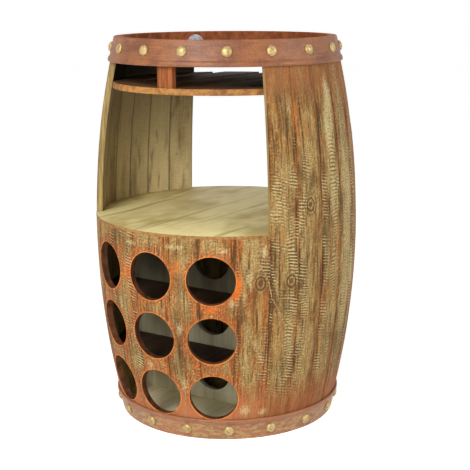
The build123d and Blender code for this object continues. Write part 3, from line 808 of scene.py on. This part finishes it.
brass_nail = nail_finish()
for hoop, nail_z in (("top", WALL_TALL - NAIL_IN), ("bottom", NAIL_IN)):
    heads = []
    for nth in range(NAIL_COUNT):
        head = lathe_blank(f"{hoop}_nail_head", NAIL_SIDES, NAIL_RINGS + 1)
        flat = points(head)
        ring = np.round(flat[:, 2]).astype(int)
        around = np.arctan2(flat[:, 1], flat[:, 0])
        swing = np.clip((ring - 1) / (NAIL_RINGS - 1), 0, 1) * math.pi / 2 * 0.94
        radius = np.where(ring == 0, NAIL_R * 0.97, NAIL_R * np.cos(swing))
        out = np.where(ring == 0, -NAIL_SINK, NAIL_LIP + (NAIL_DOME - NAIL_LIP) * np.sin(swing))
        round_it = np.column_stack((np.cos(around), np.sin(around)))
        own = nth * 5.1 + nail_z * 9
        hand = np.array([noise.noise(Vector((x * 1.4, y * 1.4, own))) for x, y in round_it])
        radius *= 1 + 0.05 * hand
        over_it = round_it * radius[:, None] * 260
        dent = np.array([noise.noise(Vector((x, y, nth * 3.7))) for x, y in over_it])
        out -= np.clip(dent, 0, 1) * NAIL_DENT * np.clip(out / NAIL_DOME, 0, 1)
        turn = math.radians(NAIL_TURN + nth * 360 / NAIL_COUNT)
        tilt = math.asin((nail_z - WALL_TALL / 2) / (WALL_ARC + HOOP_GAP + HOOP_THICK))
        level = Vector((math.sin(turn), -math.cos(turn), 0))
        facing = level * math.cos(tilt) + Vector((0, 0, math.sin(tilt)))
        sideways = Vector((math.cos(turn), math.sin(turn), 0))
        upward = facing.cross(sideways)
        seat = level * float(wall_radius(nail_z, -HOOP_GAP - HOOP_THICK)) + Vector((0, 0, nail_z))
        local = np.column_stack((radius * np.cos(around), radius * np.sin(around), out))
        frame_of_nail = np.array([sideways, upward, facing])
        set_points(head, local @ frame_of_nail + np.array(seat))
        heads.append(head)
    pick(*heads)
    bpy.ops.object.join()
    nails = heads[0]
    nails.name = f"{hoop}_nail_heads"
    face_outwards()
    smooth(nails, 60)
    nails.data.materials.append(brass_nail)
    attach(nails, "barrel")
    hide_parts(f"{hoop}_hoop_nails")

# Storage bay inside the lower wall: a round bottom board, an upright panel with three holes behind the
# middle column, and two shelves, all of thin board, washed pale or dark brown, the panel painted darker
# towards its top as painted shade.
# Battens and ledges of bare wood carry the shelves, and dowels hold the boards.
BOARD_EASE = 0.001
BATTEN_EASE = 0.0008


def eased_copy(node, width, name):
    """A CAD node's shape as one welded mesh, with its sharp edges sanded round."""
    piece = bpy.data.objects.new(name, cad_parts[node].data.copy())
    bpy.context.scene.collection.objects.link(piece)
    piece.data.materials.clear()
    pick(piece)
    bpy.ops.mesh.customdata_custom_splitnormals_clear()
    bpy.ops.object.mode_set(mode="EDIT")
    bpy.ops.mesh.select_all(action="SELECT")
    bpy.ops.mesh.remove_doubles(threshold=0.00001)
    bpy.ops.mesh.dissolve_limited(angle_limit=math.radians(0.1))
    bpy.ops.object.mode_set(mode="OBJECT")
    ease(piece, width, 2)
    smooth(piece, 35)
    return piece


board_wash = plain_wood("board_wash", screen(246, 234, 192), screen(224, 208, 164), (120.0, 9.0, 120.0))
# Painted shade: the panel goes dark towards its top, for the shade in the upper bays.
panel_wash = plain_wood(
    "panel_wash", screen(210, 202, 168), screen(186, 174, 138), (90.0, 90.0, 7.0),
    painted_shade=(0.14, 0.33, screen(44, 37, 28)),
)
# The shelves are dark brown, much darker than the bottom board.
dark_shelf_brown = plain_wood("dark_shelf_brown", screen(74, 54, 40), screen(46, 32, 24), (160.0, 12.0, 160.0))
bare_pine = plain_wood("bare_pine", screen(206, 168, 112), screen(176, 130, 78), (30.0, 120.0, 160.0))
for node, material in (
    ("bottom_board", board_wash),
    ("bottle_shelf_1", dark_shelf_brown),
    ("bottle_shelf_2", dark_shelf_brown),
    ("bottle_panel", panel_wash),
):
    piece = eased_copy(node, BOARD_EASE, f"{node}_sanded")
    piece.data.materials.append(material)
    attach(piece, "barrel")
    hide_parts(node)
for node in ("shelf_battens", "shelf_ledges"):
    piece = eased_copy(node, BATTEN_EASE, f"{node}_sanded")
    piece.data.materials.append(bare_pine)
    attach(piece, "barrel")
    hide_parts(node)
for node in ("panel_dowels", "bottom_dowels", "rack_dowels"):
    finish_node(node, bare_pine)

# Table shelf: five planks that run from front to back at mid height, with a thin lip over the stave ends.
# Stained olive and worn pale, with long dark grain lines. They rest on the lower walls and the panel.
TABLE_PLANKS = 5
TABLE_EASE = 0.0004
TABLE_EDGE_FROM = 0.2


def table_stain():
    """Olive stain on open grain: long dark lines from front to back, with pale worn wood between."""
    material, tree, shader = new_finish("table_stain")
    place = object_place(tree)
    bow = pattern(tree, place, (6.0, 3.2, 1.0), 2.0)
    parts = add(tree, "SeparateXYZ", {0: place})
    swayed = math_node(tree, "ADD", parts.outputs["X"], math_node(tree, "MULTIPLY", bow, 0.075))
    along = add(tree, "CombineXYZ", {0: swayed, 1: parts.outputs["Y"], 2: parts.outputs["Z"]}).outputs[0]
    figure = pattern(tree, along, (48.0, 1.8, 30.0), 4.0)
    grain = pattern(tree, along, (520.0, 12.0, 200.0), 5.0, 0.65)
    cloud = pattern(tree, place, (8.0, 5.0, 8.0), 3.0)
    colour = mix(tree, rise(tree, cloud, 0.38, 0.62), screen(192, 172, 106), screen(238, 224, 160))
    dark = math_node(tree, "SUBTRACT", 1.0, rise(tree, figure, 0.34, 0.47))
    colour = layer(tree, dark, 0.5, colour, screen(146, 120, 66))
    colour = layer(tree, rise(tree, grain, 0.5, 0.72), 0.5, colour, screen(160, 136, 86))
    tree.links.new(colour, shader.inputs["Base Color"])
    shader.inputs["Specular IOR Level"].default_value = 0.35
    dull = add(tree, "MapRange", {"Value": grain, "To Min": 0.45, "To Max": 0.7}).outputs[0]
    tree.links.new(dull, shader.inputs["Roughness"])
    normal = bump(tree, figure, 0.001)
    tree.links.new(bump(tree, grain, 0.0005, normal), shader.inputs["Normal"])
    return material


olive_table = table_stain()
table_edge = plain_wood("table_edge", screen(170, 124, 70), screen(112, 74, 40), (160.0, 160.0, 160.0))
for nth in range(1, TABLE_PLANKS + 1):
    piece = eased_copy(f"table_plank_{nth}", TABLE_EASE, f"table_board_{nth}")
    piece.data.materials.append(olive_table)
    piece.data.materials.append(table_edge)
    for face in piece.data.polygons:
        outward = face.normal.x * face.center.x + face.normal.y * face.center.y
        face.material_index = int(outward > TABLE_EDGE_FROM)
    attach(piece, "barrel")
    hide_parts(f"table_plank_{nth}")

# Hanging rack: a round board under the head with four stem slots, open at the back.
# Brown stained wood, its top and slot sides painted dark brown as painted shade, dowelled to the side walls
# and hung from the head by a short post at front and back.
RACK_EASE = 0.0012
RACK_EDGE_FROM = 0.19
rack_stain = plain_wood("rack_stain", screen(184, 130, 70), screen(122, 80, 40), (110.0, 8.0, 110.0))
# Painted shade: the top of the rack and the sides of its slots are dark brown, for the shade under the
# head.
rack_top_shade = plain_wood("rack_top_shade", screen(104, 74, 46), screen(64, 44, 28), (110.0, 8.0, 110.0))
post_stain = plain_wood("post_stain", screen(168, 98, 52), screen(118, 64, 32), (160.0, 160.0, 14.0))
for node, material in (
    ("glass_rack", rack_stain),
    ("front_post", post_stain),
    ("rear_post", post_stain),
):
    piece = eased_copy(node, RACK_EASE, f"{node}_sanded")
    piece.data.materials.append(material)
    # The top of the rack and the sides of its slots get the dark painted shade.
    if node == "glass_rack":
        piece.data.materials.append(rack_top_shade)
        for face in piece.data.polygons:
            outward = face.normal.x * face.center.x + face.normal.y * face.center.y
            in_slot = abs(face.normal.z) < 0.5 and outward < RACK_EDGE_FROM
            face.material_index = int(face.normal.z > 0.9 or in_slot)
    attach(piece, "barrel")
    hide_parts(node)


def worked_metal(name, colour, dark, rough):
    """Bare metal with a little tarnish and fine scratches."""
    material, tree, shader = new_finish(name)
    place = object_place(tree)
    tarnish = pattern(tree, place, (120.0, 120.0, 120.0), 4.0)
    scratch = pattern(tree, place, (1500.0, 140.0, 1500.0), 3.0)
    tree.links.new(mix(tree, rise(tree, tarnish, 0.4, 0.68), colour, dark), shader.inputs["Base Color"])
    shader.inputs["Metallic"].default_value = 1.0
    dull = add(tree, "MapRange", {"Value": scratch, "To Min": rough * 0.75, "To Max": rough * 1.3})
    tree.links.new(dull.outputs[0], shader.inputs["Roughness"])
    tree.links.new(bump(tree, scratch, 0.00003), shader.inputs["Normal"])
    return material


zinc = worked_metal("zinc", screen(196, 198, 200), screen(150, 152, 154), 0.35)
finish_node("post_screws", zinc)

# Head: a ring inside the wall carries the fixed rear half and the hinged front half, which is the lid.
# Both halves are boards of brown-olive stained wood with the grain from side to side.
HEAD_EASE = 0.0008
head_stain = plain_wood("head_stain", screen(164, 132, 84), screen(118, 84, 48), (9.0, 170.0, 170.0))
for node, body, slot, material in (
    ("head_ring", "barrel", "rack_wood", rack_stain),
    ("fixed_head", "barrel", "head_wood", head_stain),
    ("lid", "lid", "head_wood", head_stain),
):
    piece = eased_copy(node, HEAD_EASE, f"{node}_sanded")
    piece.data.materials.append(material)
    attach(piece, body)
    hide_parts(node)

# Hinges: two brass butt hinges let into the tops of both halves, with rolled knuckles on a pin.
# Each leaf is held by two countersunk screws.
hinge_brass = worked_metal("hinge_brass", screen(212, 176, 104), screen(160, 122, 64), 0.32)
for node in (
    "hinge_leaves_fixed", "hinge_leaves_lid", "hinge_pins", "hinge_screws_fixed", "hinge_screws_lid",
):
    finish_node(node, hinge_brass)

# Lid knob: a polished ball on a short neck and collar, turned in one piece and chromed.
# A bolt from under the lid holds it.
chrome = worked_metal("chrome", screen(176, 178, 184), screen(128, 130, 136), 0.07)
finish_node("lid_knob", chrome)
finish_node("knob_bolt", zinc)

# Studio: a plain white floor and surround, a broad lamp from the left of the camera and two weaker ones.
# What the camera sees of the floor and surround is white, and the floor keeps the shadow.
FLOOR_SIDE = 60
FLOOR_GREY = 0.86
FLOOR_SHOWN = 0.66
SURROUND_LIGHT = 0.32
LAMP_AIM = Vector((0, 0, 0.4))
LENS = 84.5
CAMERA_AT = (1.2917, -1.9368, 0.894)
CAMERA_TILT = 77.41
CAMERA_TURN = 33.25
CAMERA_ROLL = -0.28
bpy.ops.object.select_all(action="DESELECT")
bpy.ops.mesh.primitive_plane_add(size=FLOOR_SIDE)
floor = bpy.context.object
floor.name = "floor"
floor_white, floor_tree, floor_shader = new_finish("floor_white")
floor_shader.inputs["Base Color"].default_value = (FLOOR_GREY, FLOOR_GREY, FLOOR_GREY, 1)
floor_shader.inputs["Roughness"].default_value = 0.9
light_path = add(floor_tree, "LightPath", {})
glow = light_path.outputs["Is Camera Ray"]
for ray in ("Is Glossy Ray", "Is Transmission Ray"):
    glow = math_node(floor_tree, "MAXIMUM", glow, light_path.outputs[ray])
floor_shader.inputs["Emission Color"].default_value = (1, 1, 1, 1)
glow = math_node(floor_tree, "MULTIPLY", glow, FLOOR_SHOWN)
floor_tree.links.new(glow, floor_shader.inputs["Emission Strength"])
floor.data.materials.append(floor_white)

surround = bpy.data.worlds.new("surround")
surround.use_nodes = True
sky = surround.node_tree
background = sky.nodes["Background"]
background.inputs["Color"].default_value = (1, 1, 1, 1)
seen = add(sky, "LightPath", {})
direct = math_node(sky, "MAXIMUM", seen.outputs["Is Camera Ray"], seen.outputs["Is Transmission Ray"])
direct = math_node(sky, "MAXIMUM", direct, seen.outputs["Is Glossy Ray"])
strength = add(sky, "MapRange", {"Value": direct, "To Min": SURROUND_LIGHT, "To Max": 1.0}).outputs[0]
sky.links.new(strength, background.inputs["Strength"])
bpy.context.scene.world = surround

for name, turn, lift, away, size, power in (
    ("key_lamp", 4, 33, 3.0, 1.0, 52),
    ("fill_lamp", 100, 20, 3.0, 1.5, 30),
    ("low_lamp", 18, 8, 3.0, 0.8, 23),
):
    lamp_data = bpy.data.lights.new(name, "AREA")
    lamp_data.size = size
    lamp_data.energy = power
    lamp = bpy.data.objects.new(name, lamp_data)
    bpy.context.scene.collection.objects.link(lamp)
    side = math.radians(turn)
    level = away * math.cos(math.radians(lift))
    raised = away * math.sin(math.radians(lift))
    lamp.location = LAMP_AIM + Vector((level * math.sin(side), -level * math.cos(side), raised))
    lamp.rotation_euler = (LAMP_AIM - lamp.location).to_track_quat("-Z", "Y").to_euler()

camera_data = bpy.data.cameras.new("camera")
camera_data.sensor_width = 36
camera_data.lens = LENS
camera = bpy.data.objects.new("camera", camera_data)
bpy.context.scene.collection.objects.link(camera)
camera.location = CAMERA_AT
aim = Euler((math.radians(CAMERA_TILT), 0, math.radians(CAMERA_TURN))).to_matrix()
camera.rotation_euler = (aim @ Matrix.Rotation(math.radians(CAMERA_ROLL), 3, "Z")).to_euler()
bpy.context.scene.camera = camera
bpy.context.scene.view_settings.view_transform = "Standard"
